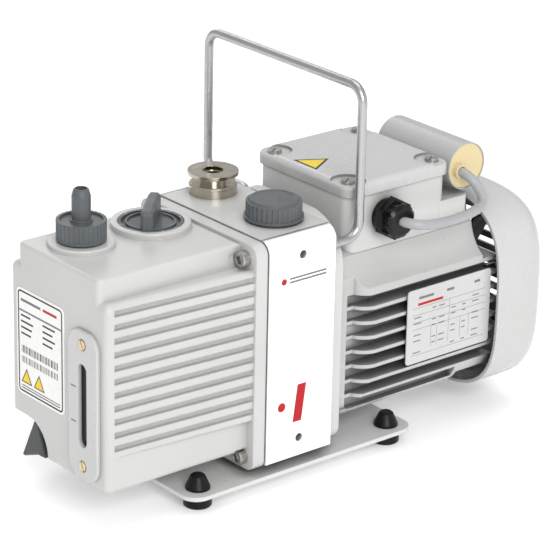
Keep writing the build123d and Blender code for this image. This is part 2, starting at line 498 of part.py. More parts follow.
cover = yz_prism(superellipse(COVER_A, COVER_A, COVER_N, AXIS_Z - 0.5), COVER_X)
cover = fillet(cover.faces().sort_by(Axis.X)[-1].edges(), COVER_ROUND)
hollow_a = COVER_A - COVER_T
hollow = yz_prism(superellipse(hollow_a, hollow_a, COVER_N, AXIS_Z - 0.5),
                  (COVER_X[0] - 1, COVER_X[1] - COVER_T))
hollow = fillet(hollow.faces().sort_by(Axis.X)[-1].edges(), COVER_ROUND - COVER_T)
cover -= hollow
grille = rod("X", AX, (170, 190), 44.0)
for k in range(-5, 6):
    cover -= box((170, 190), (-50, 50), (AXIS_Z + 8 * k - 2, AXIS_Z + 8 * k + 2)) & grille
cover -= rod("Y", (TAB_X, AXIS_Z), (0, 70), 2.1) + rod("Z", (TAB_X, 0), (AXIS_Z, AXIS_Z + 70), 2.1)
save("fan_cover", cover)
tab_holes = rod("Y", (TAB_X, AXIS_Z), (0, 70), 2.0) + rod("Z", (TAB_X, 0), (AXIS_Z, AXIS_Z + 70), 2.0)
tabs = [box((TAB_X - 3.5, TAB_X + 3.5), (53.6, 60.6), (AXIS_Z - 5, AXIS_Z + 5)),
        box((TAB_X - 3.5, TAB_X + 3.5), (-5, 5), (AXIS_Z + 53.6, AXIS_Z + 60.6))]
save("fan_cover_spacers", [(tab & hollow) - frame_block - tab_holes for tab in tabs])
save("fan_cover_screws", [
    rod("Y", (TAB_X, AXIS_Z), (54.2, 62.2), 2.0) + rod("Y", (TAB_X, AXIS_Z), (62.2, 64.2), 4.0),
    rod("Z", (TAB_X, 0), (AXIS_Z + 55.2, AXIS_Z + 62.2), 2.0)
    + rod("Z", (TAB_X, 0), (AXIS_Z + 62.2, AXIS_Z + 64.2), 4.0)])

plate = box((77.0, 143.5), (-55.6, -54.8), (52.0, 99.0))
plate = fillet(plate.edges().filter_by(Axis.Y), 2.0)
for x in (81.0, 137.0):
    plate += box((x, x + 3), (-54.8, -53.2), (75.5, 77.1)) - frame
save("nameplate", plate)

# ---------------------------------------------------------------- terminal box
tbox = box(BOX_X, (-BOX_Y, BOX_Y), (BOX_Z0, LID_Z[0]))
tbox = fillet(tbox.edges().filter_by(Axis.Z), 7.0)
pedestal = box((BOX_X[1] - 8, PEDESTAL_END), (-BOX_Y, BOX_Y), (BOX_Z0, PEDESTAL_TOP))
pedestal = fillet(pedestal.edges().filter_by(Axis.Z), 5.0)
pedestal -= box((BOX_X[1], PEDESTAL_END - 3), (-BOX_Y + 3, BOX_Y - 3), (TOP - 18, PEDESTAL_TOP - 3))
tbox += pedestal
tbox -= frame_block
tbox -= box((BOX_X[0] + 3, BOX_X[1] - 3), (-BOX_Y + 3, BOX_Y - 3), (TOP - 18, TOP + 20))
for x in LID_SCREW_X:
    for y in (-LID_SCREW_Y, LID_SCREW_Y):
        tbox += rod("Z", (x, y), (TOP - 19, LID_Z[0]), 4.5)
        tbox -= rod("Z", (x, y), (LID_Z[0] - 8, LID_Z[0] + 1), 1.9)
tbox -= rod("Y", (GLAND_X, GLAND_Z), (-BOX_Y - 1, -BOX_Y + 5), 8.0)
save("terminal_box", tbox)
lid = extrude(Pos(sum(LID_X) / 2, 0, LID_Z[0]) * RectangleRounded(
    LID_X[1] - LID_X[0], 2 * LID_Y, 8.0), LID_Z[1] - LID_Z[0])
lid = fillet(lid.faces().sort_by(Axis.Z)[-1].edges(), 3.5)
lid -= box((BOX_X[0] + 3, BOX_X[1] - 3), (-BOX_Y + 3, BOX_Y - 3), (LID_Z[0] - 1, LID_Z[1] - 2.5))
for x in LID_SCREW_X:
    for y in (-LID_SCREW_Y, LID_SCREW_Y):
        lid += rod("Z", (x, y), (LID_Z[0], LID_Z[1] - 2), 4.5)
        lid -= rod("Z", (x, y), (LID_Z[0] - 1, LID_Z[1] + 1), 1.9)
        lid -= rod("Z", (x, y), (LID_SEAT, LID_Z[1] + 1), LID_RECESS_R)
save("terminal_lid", lid)
save("lid_screws", [
    rod("Z", (x, y), (LID_SEAT, LID_SEAT + 2.0), 4.0)
    - Pos(x, y, LID_SEAT + 2.0) * Rot(0, 0, 35) * Box(9, 1.0, 1.8)
    + rod("Z", (x, y), (LID_Z[0] - 8, LID_SEAT), 1.9)
    for x in LID_SCREW_X for y in (-LID_SCREW_Y, LID_SCREW_Y)])
save("terminal_block", box((62, 98), (-9, 9), (TOP - 18, TOP - 4)))

# ---------------------------------------------------------------- gland, capacitor, lead
hexagon = Plane(origin=(GLAND_X, 0, GLAND_Z), x_dir=(1, 0, 0), z_dir=(0, -1, 0)) * RegularPolygon(
    13.0, 6, rotation=30)
gland = Pos(0, -46.0, 0) * extrude(hexagon, 5.0)
gland += turned((0, 0), [(0, 0), (10.4, 0), (10.4, 4.4), (8.2, 6.0), (0, 6.0)]).moved(
    Location((GLAND_X, -51.0, GLAND_Z), (90, 0, 0)))
for i in range(12):
    turn = math.radians(30 * i)
    gland -= rod("Y", (GLAND_X + 11.2 * math.cos(turn), GLAND_Z + 11.2 * math.sin(turn)), (-58, -51), 1.5)
gland += rod("Y", (GLAND_X, GLAND_Z), (-46.0, -BOX_Y), 10.0)
gland += rod("Y", (GLAND_X, GLAND_Z), (-BOX_Y - 0.1, -BOX_Y + 6), 8.0)
gland -= rod("Y", (GLAND_X, GLAND_Z), (-60, -30), LEAD_R + LEAD_GAP)
save("cable_gland", gland)

can_at = (CAP_AXIS_X, CAP_AXIS_Z)
can = fillet(rod("Y", can_at, CAN_Y, CAN_R).faces().sort_by(Axis.Y)[-1].edges(), 2.0)
can -= rod("Y", can_at, (CAN_Y[0] - 1, CAN_Y[0] + CAN_LIP), CAN_R - 0.7)
save("capacitor_can", can)
tail_at = (LEAD_POINTS[-1][0], LEAD_POINTS[-1][2])
boot = rod("Y", can_at, (CAN_Y[0] + 0.6, CAN_Y[0] + CAN_LIP), CAN_R - 0.75)
boot += rod("Y", tail_at, (CAN_Y[0] - 3.0, CAN_Y[0] + 2.0), 4.4)
boot -= rod("Y", tail_at, (CAN_Y[0] - 5.0, LEAD_POINTS[-1][1]), LEAD_R + LEAD_GAP)
save("capacitor_boot", boot)
strap = tube("Y", (CAP_AXIS_X, CAP_AXIS_Z), (2.0, 16.0), CAN_R + 1.2, CAN_R)
strap &= box((100, 150.8), (0, 20), (120, CAP_AXIS_Z))
strap += box((CAP_AXIS_X - 3, CAP_AXIS_X + 3), (2.0, 16.0), (128, CAP_AXIS_Z - CAN_R - 0.4))
strap -= frame_block + pedestal
save("capacitor_bracket", strap)


def lead_route(points):
    """Straight runs joined by tangent arcs."""
    line = Polyline(*points)
    radii = []
    for a, b, c in zip(points, points[1:], points[2:]):
        u, v = Vector(*b) - Vector(*a), Vector(*c) - Vector(*b)
        turn = math.radians(u.get_angle(v))
        radii.append(0.45 * min(u.length, v.length) / math.tan(turn / 2))
    print("lead bend radii", [round(r, 1) for r in radii], "run total", round(line.length, 1))
    return FilletPolyline(*points, radius=radii)


path = lead_route(LEAD_POINTS)
lead = sweep(Plane(origin=path @ 0, z_dir=path % 0) * Circle(LEAD_R), path=path)
print("lead volume / (section x length)", lead.volume / (math.pi * LEAD_R ** 2 * path.length))
save("capacitor_lead", lead)
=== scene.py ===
"""Looks of an oil-sealed rotary vane pump: finishes, printed films, the capacitor lead, light and camera.

Lengths, places and depths are in metres unless a comment says otherwise.
"""

import logging
import math
from dataclasses import dataclass, field
from enum import Enum
from typing import Iterable, Sequence

import bmesh
import bpy
from mathutils import Matrix, Vector

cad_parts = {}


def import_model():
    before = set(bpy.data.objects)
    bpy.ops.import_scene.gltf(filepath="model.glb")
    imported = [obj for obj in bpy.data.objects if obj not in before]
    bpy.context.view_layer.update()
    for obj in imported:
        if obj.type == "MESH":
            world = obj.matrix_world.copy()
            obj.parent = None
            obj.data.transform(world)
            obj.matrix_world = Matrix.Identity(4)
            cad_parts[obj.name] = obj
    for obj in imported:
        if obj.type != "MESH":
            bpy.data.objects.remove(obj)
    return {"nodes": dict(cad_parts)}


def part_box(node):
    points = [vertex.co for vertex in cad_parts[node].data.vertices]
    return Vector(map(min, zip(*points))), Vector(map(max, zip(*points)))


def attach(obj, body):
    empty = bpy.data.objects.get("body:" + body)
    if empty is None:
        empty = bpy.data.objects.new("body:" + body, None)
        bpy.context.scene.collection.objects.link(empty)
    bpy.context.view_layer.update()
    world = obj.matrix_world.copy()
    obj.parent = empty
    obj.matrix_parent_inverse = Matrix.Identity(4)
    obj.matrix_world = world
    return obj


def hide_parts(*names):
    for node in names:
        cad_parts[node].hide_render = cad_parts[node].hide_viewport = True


LOG = logging.getLogger("pump")
MM = 0.001
BEVEL_SAMPLES = 6
OCCLUSION_SAMPLES = 8
WAVES_PER_SCALE = 3.2
CORNER_SHARE = 1.75  # how far the foot of a bordered triangle shrinks each side, for a border one wide
TIP_SHARE = 2.0  # how far its tip comes down

Colour = tuple[float, float, float]
Point = tuple[float, float, float]
Socket = bpy.types.NodeSocket
Nodes = dict[str, bpy.types.Object]

ACROSS_X = Vector((1, 0, 0))
ACROSS_MINUS_Y = Vector((0, -1, 0))
UP_Y = Vector((0, 1, 0))
UP_Z = Vector((0, 0, 1))


def toned(colour: Colour, factor: float, lift: float = 0.0) -> Colour:
    """Scale a colour and lift it, held at full white."""
    return tuple(min(1.0, factor * part + lift) for part in colour)


class Way(Enum):
    """Direction in which a surface is worked, as a stretch of its texture along each axis."""

    EVEN = (1.0, 1.0, 1.0)
    ALONG_X = (0.03, 1.0, 1.0)
    ALONG_Y = (1.0, 0.03, 1.0)
    ALONG_Z = (1.0, 1.0, 0.03)


class Part(Enum):
    """Bodies that pieces ride on."""

    PUMP = "pump"
    BALLAST = "ballast_valve"


# ------------------------------------------------------------------ node building
class Shade:
    """Node tree of one material, with short calls for the textures that the finishes share."""

    def __init__(self, name: str) -> None:
        """Start a material that holds only its surface shader.

        Args:
            name: name of the material.
        """
        self.material = bpy.data.materials.new(name)
        self.material.use_nodes = True
        self.tree = self.material.node_tree
        self.surface = next(n for n in self.tree.nodes if n.type == "BSDF_PRINCIPLED")
        self._place: Socket | None = None

    def node(self, kind: str, **settings: object) -> bpy.types.Node:
        """Add a node.

        Args:
            kind: type of the node, without its ShaderNode prefix.
            **settings: properties of the node.

        Returns:
            The new node.
        """
        made = self.tree.nodes.new("ShaderNode" + kind)
        for key, value in settings.items():
            setattr(made, key, value)
        return made

    def join(self, source: Socket, target: Socket) -> None:
        """Link two sockets."""
        self.tree.links.new(source, target)

    def feed(self, target: Socket, value: Socket | float | Sequence[float]) -> None:
        """Link a socket to the target, or set the target to a plain value."""
        if isinstance(value, bpy.types.NodeSocket):
            self.join(value, target)
        else:
            target.default_value = value

    def place(self) -> Socket:
        """Position on the piece."""
        if self._place is None:
            self._place = self.node("TexCoord").outputs["Object"]
        return self._place

    def maths(self, operation: str, *values: Socket | float) -> Socket:
        """Combine sockets or numbers by the operation of that name."""
        made = self.node("Math", operation=operation)
        for target, value in zip(made.inputs, values):
            self.feed(target, value)
        return made.outputs[0]

    def spread(self, value: Socket, low: float, high: float, to_low: float, to_high: float) -> Socket:
        """Map a number from one range to another, held at the ends.

        Args:
            value: number to map.
            low: start of its range.
            high: end of its range.
            to_low: result at the start.
            to_high: result at the end.

        Returns:
            The mapped number.
        """
        made = self.node("MapRange")
        for target, item in zip(made.inputs, (value, low, high, to_low, to_high)):
            self.feed(target, item)
        return made.outputs[0]

    def noise(self, per_metre: float, detail: float = 3.0, way: Way = Way.EVEN,
              place: Socket | None = None) -> Socket:
        """Cloudy noise.

        Args:
            per_metre: how many features lie in a metre.
            detail: finer layers added to it.
            way: direction in which the features are drawn out.
            place: position to read it at, if not the position on the piece.

        Returns:
            A number from 0 to 1, mostly near 0.5.
        """
        scaled = self.node("Mapping")
        self.join(place or self.place(), scaled.inputs["Vector"])
        scaled.inputs["Scale"].default_value = [per_metre * part for part in way.value]
        made = self.node("TexNoise")
        made.inputs["Scale"].default_value = 1.0
        made.inputs["Detail"].default_value = detail
        self.join(scaled.outputs[0], made.inputs["Vector"])
        return made.outputs["Fac"]

    def patches(self, per_metre: float, detail: float, low: float, high: float, share: float = 1.0) -> Socket:
        """Cloudy patches.

        Args:
            per_metre: how many features lie in a metre.
            detail: finer layers added to them.
            low: noise at which a patch starts.
            high: noise at which it is full.
            share: number in a full patch.

        Returns:
            A number from 0 to the share.
        """
        return self.spread(self.noise(per_metre, detail), low, high, 0.0, share)

    def varied(self, value: float, below: float, above: float, per_metre: float, detail: float) -> Socket:
        """A number that varies cloudily from some way below a value to some way above it."""
        return self.spread(self.noise(per_metre, detail), 0.3, 0.7, value - below, value + above)

    def blend(self, amount: Socket | float, first: Socket | Colour, second: Socket | Colour) -> Socket:
        """Mix two colours.

        Args:
            amount: share of the second.
            first: colour at 0.
            second: colour at 1.

        Returns:
            The mixed colour.
        """
        made = self.node("Mix", data_type="RGBA")
        inputs = [s for s in made.inputs if s.type == "RGBA"]
        self.feed(made.inputs["Factor"], amount)
        for target, value in zip(inputs, (first, second)):
            self.feed(target, value if isinstance(value, bpy.types.NodeSocket) else (*value, 1.0))
        return next(s for s in made.outputs if s.type == "RGBA")

    def bump(self, height: Socket, depth: float, base: Socket | None = None) -> Socket:
        """Relief from a height.

        Args:
            height: number from 0 to 1.
            depth: height of the relief.
            base: normal that it is added to.

        Returns:
            The new normal.
        """
        made = self.node("Bump")
        made.inputs["Strength"].default_value = 1.0
        made.inputs["Distance"].default_value = depth
        self.join(height, made.inputs["Height"])
        if base is not None:
            self.join(base, made.inputs["Normal"])
        return made.outputs[0]

    def softened_edges(self, radius: float) -> Socket:
        """Normal with the hard edges rounded over a radius."""
        made = self.node("Bevel", samples=BEVEL_SAMPLES)
        made.inputs["Radius"].default_value = radius
        return made.outputs[0]

    def crevice_shade_mask(self, reach: float) -> Socket:
        """Mask for painted shade: how deep a point lies in a groove or a hole, from ambient occlusion.

        Args:
            reach: distance over which the walls shade it.

        Returns:
            0 in the open, up to 1 deep inside.
        """
        made = self.node("AmbientOcclusion", samples=OCCLUSION_SAMPLES)
        made.inputs["Distance"].default_value = reach
        return self.spread(made.outputs["AO"], 0.25, 0.85, 1.0, 0.0)

    def edge_share(self, rounded: Socket) -> Socket:
        """How near a point is to an outer or inner edge, from its rounded normal.

        Args:
            rounded: normal with softened edges.

        Returns:
            0 on the flats, up to 1 at an edge.
        """
        made = self.node("VectorMath", operation="DOT_PRODUCT")
        self.join(rounded, made.inputs[0])
        self.join(self.node("NewGeometry").outputs["Normal"], made.inputs[1])
        return self.spread(made.outputs["Value"], 0.995, 0.86, 0.0, 1.0)

    def round_an_axis(self, centre: Point, along_z: bool) -> Socket:
        """Position as distance from an axis and height along it, for turned parts.

        Args:
            centre: a point on the axis.
            along_z: True for an upright axis, False for one along X.

        Returns:
            A vector of radius, height and zero.
        """
        moved = self.node("VectorMath", operation="SUBTRACT")
        self.join(self.place(), moved.inputs[0])
        moved.inputs[1].default_value = centre
        split = self.node("SeparateXYZ")
        self.join(moved.outputs[0], split.inputs[0])
        across, up = (("X", "Y"), "Z") if along_z else (("Y", "Z"), "X")
        squares = [self.maths("POWER", split.outputs[axis], 2.0) for axis in across]
        joined = self.node("CombineXYZ")
        self.join(self.maths("SQRT", self.maths("ADD", *squares)), joined.inputs[0])
        self.join(split.outputs[up], joined.inputs[1])
        return joined.outputs[0]

    def finish(self, colour: Socket | Colour, roughness: Socket | float, normal: Socket | None,
               **sockets: float | Colour) -> bpy.types.Material:
        """Set the surface shader.

        Args:
            colour: base colour.
            roughness: roughness.
            normal: normal, or None for the mesh's own.
            **sockets: other plain inputs, with _ for a space in their names.

        Returns:
            The finished material.
        """
        inputs = self.surface.inputs
        plain = not isinstance(colour, bpy.types.NodeSocket)
        self.feed(inputs["Base Color"], (*colour, 1.0) if plain else colour)
        self.feed(inputs["Roughness"], roughness)
        if normal is not None:
            self.join(normal, inputs["Normal"])
        for key, value in sockets.items():
            inputs[key.replace("_", " ")].default_value = value
        return self.material


# ------------------------------------------------------------------ finishes
@dataclass(frozen=True)
class Enamel:
    """Stoved enamel on a casting or on sheet: orange peel, soft edges, a little dirt and rubbed corners, and
    painted shade deep in grooves and holes.

    Attributes:
        name: name of the material.
        colour: colour of the clean paint.
        roughness: its middle roughness.
        peel: depth of the orange peel.
        cast: depth of the casting's waves under it.
        edge: radius of the softened edges.
        grime: share of dirt where it gathers.
        shade: share of painted shade deep in grooves and holes.
        reach: distance over which walls cast painted shade into a groove.
    """

    name: str
    colour: Colour
    roughness: float = 0.36
    peel: float = 0.014 * MM
    cast: float = 0.05 * MM
    edge: float = 1.0 * MM
    grime: float = 0.30
    shade: float = 0.70
    reach: float = 9.0 * MM

    def material(self) -> bpy.types.Material:
        """Build the material."""
        shade = Shade(self.name)
        soft = shade.softened_edges(self.edge)
        warm = tuple(c * k for c, k in zip(self.colour, (0.985, 0.980, 0.970)))
        colour = shade.blend(shade.patches(14.0, 4.0, 0.35, 0.65), warm, toned(self.colour, 1.035))
        dirt = shade.maths("MULTIPLY", shade.patches(55.0, 6.0, 0.55, 0.75), 0.10 * self.grime)
        colour = shade.blend(dirt, colour, toned(self.colour, 0.45))
        pits = shade.maths("MULTIPLY", shade.patches(1400.0, 1.0, 0.72, 0.80), 0.5 * self.grime)
        colour = shade.blend(pits, colour, toned(self.colour, 0.62))
        worn = shade.spread(shade.noise(220.0, 3.0), 0.40, 0.60, 0.2, 0.8)
        rub = shade.maths("MULTIPLY", shade.edge_share(soft), worn)
        colour = shade.blend(rub, colour, toned(self.colour, 1.22))
        # painted shade: the colour goes towards near black deep in grooves and holes, from ambient occlusion
        deep = shade.maths("MULTIPLY", shade.crevice_shade_mask(self.reach), self.shade)
        colour = shade.blend(deep, colour, toned(self.colour, 0.12))
        rough = shade.varied(self.roughness, 0.07, 0.07, 70.0, 5.0)
        normal = shade.bump(shade.noise(120.0, 2.0), self.cast, soft)
        normal = shade.bump(shade.noise(950.0, 1.0), self.peel, normal)
        return shade.finish(colour, rough, normal, Coat_Weight=0.15, Coat_Roughness=0.2)


@dataclass(frozen=True)
class Moulding:
    """Moulded plastic or rubber with a fine grain, paler at its scuffed edges.

    Attributes:
        name: name of the material.
        colour: its colour.
        roughness: its middle roughness.
        grain: depth of the grain.
        per_metre: grains in a metre.
        edge: radius of the softened edges.
        scuff: share of pale scuffs at the edges.
        dust: share of pale dust on the flats.
        gloss: share of light that it mirrors, 0.5 for common plastic.
    """

    name: str
    colour: Colour
    roughness: float = 0.48
    grain: float = 0.02 * MM
    per_metre: float = 2600.0
    edge: float = 0.4 * MM
    scuff: float = 0.35
    dust: float = 0.12
    gloss: float = 0.5

    def material(self) -> bpy.types.Material:
        """Build the material."""
        shade = Shade(self.name)
        soft = shade.softened_edges(self.edge)
        pale = toned(self.colour, 0.55, 0.20)
        colour = shade.blend(shade.patches(60.0, 4.0, 0.4, 0.7, self.dust), self.colour, pale)
        worn = shade.spread(shade.noise(420.0, 4.0), 0.42, 0.66, 0.1, self.scuff)
        colour = shade.blend(shade.maths("MULTIPLY", shade.edge_share(soft), worn), colour, pale)
        rough = shade.varied(self.roughness, 0.09, 0.09, 160.0, 4.0)
        normal = shade.bump(shade.noise(self.per_metre, 2.0), self.grain, soft)
        normal = shade.bump(shade.noise(110.0, 2.0), 2.0 * self.grain, normal)
        return shade.finish(colour, rough, normal, Specular_IOR_Level=self.gloss)


@dataclass(frozen=True)
class BareMetal:
    """Bare or plated metal, drawn, ground or brushed one way.

    Attributes:
        name: name of the material.
        colour: its colour.
        tint: colour of its stains.
        roughness: its middle roughness.
        way: direction of the working marks.
        marks: depth of the marks.
        per_metre: marks in a metre.
        edge: radius of the softened edges.
    """

    name: str
    colour: Colour
    tint: Colour
    roughness: float = 0.28
    way: Way = Way.EVEN
    marks: float = 0.006 * MM
    per_metre: float = 1800.0
    edge: float = 0.25 * MM

    def material(self) -> bpy.types.Material:
        """Build the material."""
        shade = Shade(self.name)
        soft = shade.softened_edges(self.edge)
        colour = shade.blend(shade.patches(90.0, 5.0, 0.48, 0.72, 0.6), self.colour, self.tint)
        marks = shade.noise(self.per_metre, 2.0, self.way)
        lines = shade.spread(marks, 0.35, 0.65, 0.0, 0.22)
        colour = shade.blend(lines, colour, toned(self.colour, 0.7))
        rough = shade.varied(self.roughness, 0.08, 0.10, 240.0, 4.0)
        return shade.finish(colour, rough, shade.bump(marks, self.marks, soft), Metallic=1.0)


@dataclass(frozen=True)
class TurnedMetal:
    """Metal off a lathe, with fine rings round its axis.

    Attributes:
        name: name of the material.
        colour: its colour.
        tint: colour of its stains.
        centre: a point on the axis.
        along_z: True for an upright axis, False for one along X.
        roughness: its middle roughness.
        rings: depth of the tool marks.
    """

    name: str
    colour: Colour
    tint: Colour
    centre: Point
    along_z: bool = True
    roughness: float = 0.24
    rings: float = 0.010 * MM

    def material(self) -> bpy.types.Material:
        """Build the material."""
        shade = Shade(self.name)
        soft = shade.softened_edges(0.3 * MM)
        turned = shade.round_an_axis(self.centre, self.along_z)
        rings = shade.noise(2600.0, 1.0, place=turned)
        bands = shade.noise(420.0, 2.0, place=turned)
        colour = shade.blend(shade.patches(160.0, 5.0, 0.45, 0.70, 0.7), self.colour, self.tint)
        lines = shade.spread(bands, 0.35, 0.65, 0.0, 0.25)
        colour = shade.blend(lines, colour, toned(self.colour, 0.72))
        rough = shade.spread(bands, 0.3, 0.7, self.roughness - 0.06, self.roughness + 0.10)
        normal = shade.bump(rings, self.rings, soft)
        return shade.finish(colour, rough, normal, Metallic=1.0, Anisotropic=0.35)


@dataclass(frozen=True)
class Film:
    """Printed film or plain ink: smooth, faintly mottled, with the odd scratch.

    Attributes:
        name: name of the material.
        colour: its colour.
        roughness: its middle roughness.
        mottle: share of a darker tone in its clouds.
    """

    name: str
    colour: Colour
    roughness: float = 0.30
    mottle: float = 0.10

    def material(self) -> bpy.types.Material:
        """Build the material."""
        shade = Shade(self.name)
        clouds = shade.patches(130.0, 5.0, 0.4, 0.7, self.mottle)
        colour = shade.blend(clouds, self.colour, toned(self.colour, 0.75, 0.01))
        scratches = shade.spread(shade.noise(900.0, 2.0, Way.ALONG_Z), 0.66, 0.72, 0.0, 0.18)
        colour = shade.blend(scratches, colour, toned(self.colour, 0.8, 0.05))
        rough = shade.varied(self.roughness, 0.06, 0.08, 300.0, 3.0)
        normal = shade.bump(shade.noise(500.0, 2.0), 0.008 * MM)
        return shade.finish(colour, rough, normal, Specular_IOR_Level=0.3)


@dataclass(frozen=True)
class GaugeWindow:
    """Window of the sight glass, with dark oil up to a level and a wet film over it.

    Attributes:
        name: name of the material.
        oil: colour of the oil.
        empty: colour above the oil.
        level: height of the oil.
        meniscus: how far the oil's edge blurs.
    """

    name: str
    oil: Colour
    empty: Colour
    level: float
    meniscus: float = 0.5 * MM

    def material(self) -> bpy.types.Material:
        """Build the material."""
        shade = Shade(self.name)
        split = shade.node("SeparateXYZ")
        shade.join(shade.place(), split.inputs[0])
        ripple = shade.spread(shade.noise(180.0, 2.0), 0.3, 0.7, -0.4 * MM, 0.4 * MM)
        height = shade.maths("ADD", split.outputs["Z"], ripple)
        above = shade.spread(height, self.level - self.meniscus, self.level + self.meniscus, 0.0, 1.0)
        colour = shade.blend(above, self.oil, self.empty)
        drips = shade.spread(shade.noise(260.0, 3.0, Way.ALONG_Z), 0.5, 0.7, 0.0, 0.5)
        colour = shade.blend(drips, colour, toned(self.oil, 0.5))
        rough = shade.spread(shade.noise(350.0, 3.0), 0.3, 0.7, 0.04, 0.16)
        normal = shade.bump(shade.noise(240.0, 1.0), 0.02 * MM)
        return shade.finish(colour, rough, normal, Specular_IOR_Level=0.25, Coat_Weight=0.15,
                            Coat_Roughness=0.03)


@dataclass(frozen=True)
class Laminations:
    """Stacked steel sheets or wound wire, as fine bands along the shaft.

    Attributes:
        name: name of the material.
        light: colour of a sheet or a wire.
        dark: colour between two of them.
        per_metre: sheets or wires in a metre.
        metallic: how metallic it is.
    """

    name: str
    light: Colour
    dark: Colour
    per_metre: float
    metallic: float

    def material(self) -> bpy.types.Material:
        """Build the material."""
        shade = Shade(self.name)
        bands = shade.node("TexWave", bands_direction="X")
        bands.inputs["Scale"].default_value = self.per_metre / WAVES_PER_SCALE
        bands.inputs["Distortion"].default_value = 0.6
        shade.join(shade.place(), bands.inputs["Vector"])
        fac = bands.outputs["Fac"]
        colour = shade.blend(fac, self.dark, self.light)
        colour = shade.blend(shade.patches(80.0, 4.0, 0.4, 0.7, 0.4), colour, toned(self.light, 0.6))
        rough = shade.spread(shade.noise(200.0, 3.0), 0.3, 0.7, 0.35, 0.55)
        return shade.finish(colour, rough, shade.bump(fac, 0.05 * MM), Metallic=self.metallic)


Finish = Enamel | Moulding | BareMetal | TurnedMetal | Film | GaugeWindow | Laminations


# ------------------------------------------------------------------ printing and small meshes
@dataclass
class Print:
    """Ink or film on a flat face, as thin closed pieces of one colour.

    Attributes:
        name: name of the piece.
        origin: corner or centre of the face.
        across: direction of reading, along the face.
        up: upward direction, along the face.
        finish: finish of the ink.
        slot: material slot that it belongs to.
        lift: height of the ink's top over the face.
        body: body that it rides on.
        sunk: depth of the ink's underside below the face.
        mesh: shapes made so far.
    """

    name: str
    origin: Vector
    across: Vector
    up: Vector
    finish: Finish
    # slot: name of a material slot; not used.
    slot: str
    lift: float = 0.05 * MM
    body: Part = Part.PUMP
    sunk: float = 0.02 * MM
    mesh: bmesh.types.BMesh = field(default_factory=bmesh.new)

    def shape(self, outline: Iterable[tuple[float, float]]) -> None:
        """Add a closed shape.

        Args:
            outline: its corners as (across, up) in metres, counter-clockwise.
        """
        out = self.across.cross(self.up).normalized()
        base = [self.origin + self.across * a + self.up * b for a, b in outline]
        low = [self.mesh.verts.new(p - out * self.sunk) for p in base]
        high = [self.mesh.verts.new(p + out * self.lift) for p in base]
        self.mesh.faces.new(high)
        self.mesh.faces.new(low[::-1])
        for i, vert in enumerate(low):
            j = (i + 1) % len(low)
            self.mesh.faces.new((vert, low[j], high[j], high[i]))

    def bar(self, across: tuple[float, float], up: tuple[float, float], lean: float = 0.0) -> None:
        """Add a bar between two limits each way, leaning by a distance at its top."""
        (a0, a1), (b0, b1) = across, up
        self.shape([(a0, b0), (a1, b0), (a1 + lean, b1), (a0 + lean, b1)])

    def disc(self, centre: tuple[float, float], radius: float, steps: int = 28) -> None:
        """Add a round dot."""
        self.shape([(centre[0] + radius * math.cos(2 * math.pi * i / steps),
                     centre[1] + radius * math.sin(2 * math.pi * i / steps)) for i in range(steps)])

    def triangle(self, foot: tuple[float, float], half: float, tall: float, inset: float) -> None:
        """Add an upright triangle, inside a border.

        Args:
            foot: middle of the border's lower side.
            half: half the width of that side.
            tall: height of the border.
            inset: width of the border.
        """
        middle, low = foot
        side = half - CORNER_SHARE * inset
        self.shape([(middle - side, low + inset), (middle + side, low + inset),
                    (middle, low + tall - TIP_SHARE * inset)])

    @staticmethod
    def rounded(size: tuple[float, float], radius: float, inset: float) -> list[tuple[float, float]]:
        """Outline of a rounded rectangle about the origin.

        Args:
            size: width and height.
            radius: corner radius.
            inset: how far the outline lies inside that size.

        Returns:
            Its points, counter-clockwise.
        """
        half = (size[0] / 2 - radius, size[1] / 2 - radius)
        points = []
        for quarter, (sa, sb) in enumerate(((1, 1), (-1, 1), (-1, -1), (1, -1))):
            for step in range(7):
                angle = math.radians(90 * quarter + 15 * step)
                points.append((sa * half[0] + (radius - inset) * math.cos(angle),
                               sb * half[1] + (radius - inset) * math.sin(angle)))
        return points

    def ring(self, size: tuple[float, float], radius: float, inset: float, width: float) -> None:
        """Add a rounded border line.

        Args:
            size: width and height of the face.
            radius: corner radius of the face.
            inset: distance of the line from the edge.
            width: width of the line.
        """
        outer, inner = (self.rounded(size, radius, inset + w) for w in (0.0, width))
        for i in range(len(outer)):
            j = (i + 1) % len(outer)
            self.shape([outer[i], outer[j], inner[j], inner[i]])

    def build(self) -> bpy.types.Object:
        """Turn the shapes into a piece that rides on its body, and return it."""
        bmesh.ops.remove_doubles(self.mesh, verts=self.mesh.verts, dist=1e-7)
        bmesh.ops.recalc_face_normals(self.mesh, faces=self.mesh.faces)
        data = bpy.data.meshes.new(self.name)
        self.mesh.to_mesh(data)
        self.mesh.free()
        piece = bpy.data.objects.new(self.name, data)
        bpy.context.scene.collection.objects.link(piece)
        data.materials.append(self.finish.material())
        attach(piece, self.body.value)
        LOG.info("%s: %d faces on %s", self.name, len(data.polygons), self.body.value)
        return piece


def dress(nodes: Nodes, finish: Finish, *names: str) -> None:
    """Give the named nodes one finish."""
    material = finish.material()
    for name in names:
        data = nodes[name].data
        data.materials.clear()
        data.materials.append(material)
        LOG.info("%s: %s", name, material.name)


# ------------------------------------------------------------------ sub-assemblies
INK_BLACK = Film("ink_black", (0.015, 0.015, 0.017), 0.38, 0.2)
INK_GREY = Film("ink_grey", (0.16, 0.16, 0.17), 0.38, 0.2)
INK_RED = Film("ink_red", (0.42, 0.004, 0.012), 0.40, 0.12)
INK_YELLOW = Film("ink_yellow", (0.80, 0.58, 0.03), 0.34, 0.12)
CASTING = Enamel("casting_enamel", (0.52, 0.52, 0.515))
